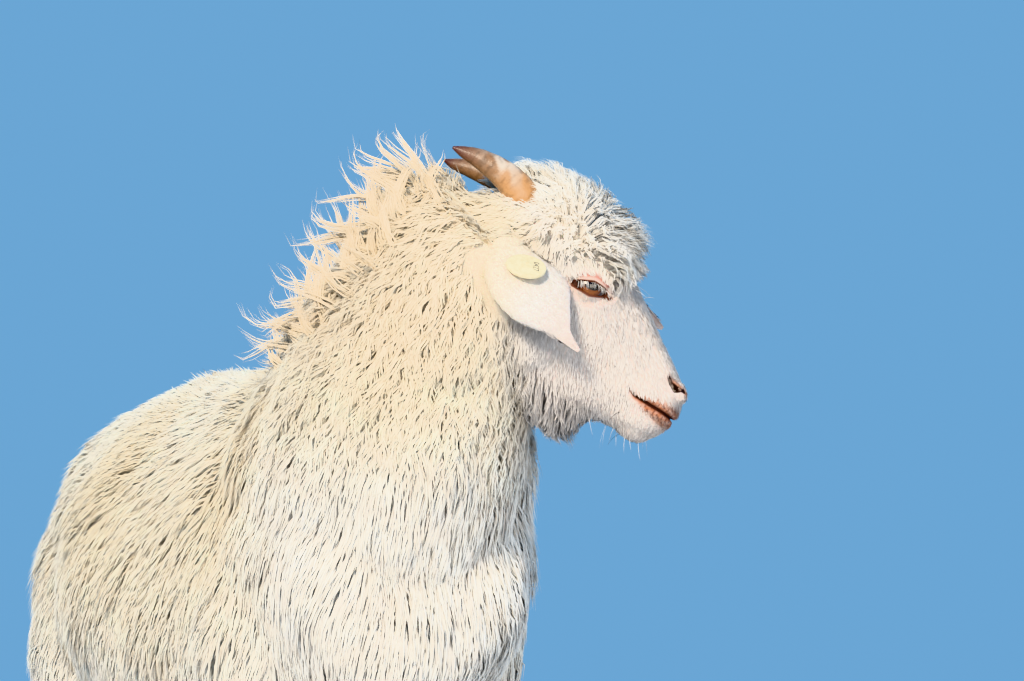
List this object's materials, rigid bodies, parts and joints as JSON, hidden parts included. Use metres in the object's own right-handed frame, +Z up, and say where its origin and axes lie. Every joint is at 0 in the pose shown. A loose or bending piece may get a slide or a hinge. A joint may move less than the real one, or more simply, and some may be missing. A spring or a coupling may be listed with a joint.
{
  "type": "cashmere goat model",
  "caption": "Life-size still model of a young horned cashmere goat with a tagged ear, standing with its neck bent to look left, for display and as scenery.",
  "frame": {"origin": "under the middle of the goat's bounding box, on the ground it stands on", "axes": "+X from the tail towards the chest, +Y to the goat's left, +Z up; the bent neck turns the face towards +Y"},
  "size_m": [0.823, 0.3548, 0.7251],
  "materials": {
    "coat": "matt cream-white cashmere and guard hair",
    "face": "short matt off-white hair over pink-grey skin",
    "ear": "smooth velvet-short white hair",
    "eye": "wet and glossy, amber-brown with a dark pupil",
    "horn": "tan to dark brown horn, worn and satin",
    "hoof": "grey-brown hoof horn, satin",
    "tag": "pale cream-yellow plastic"
  },
  "bodies": {
    "root": {"claw_fore_left_inner": "hoof", "claw_fore_left_outer": "hoof", "claw_fore_right_inner": "hoof", "claw_fore_right_outer": "hoof", "claw_hind_left_inner": "hoof", "claw_hind_left_outer": "hoof", "claw_hind_right_inner": "hoof", "claw_hind_right_outer": "hoof", "ear_left": "ear", "ear_right": "ear", "ear_tag": "tag", "eye_left": "eye", "eye_right": "eye", "head": "face", "horn_left": "horn", "horn_right": "horn", "leg_fore_left": "coat", "leg_fore_right": "coat", "leg_hind_left": "coat", "leg_hind_right": "coat", "neck": "coat", "tail": "coat", "torso": "coat"}
  },
  "joints": []
}
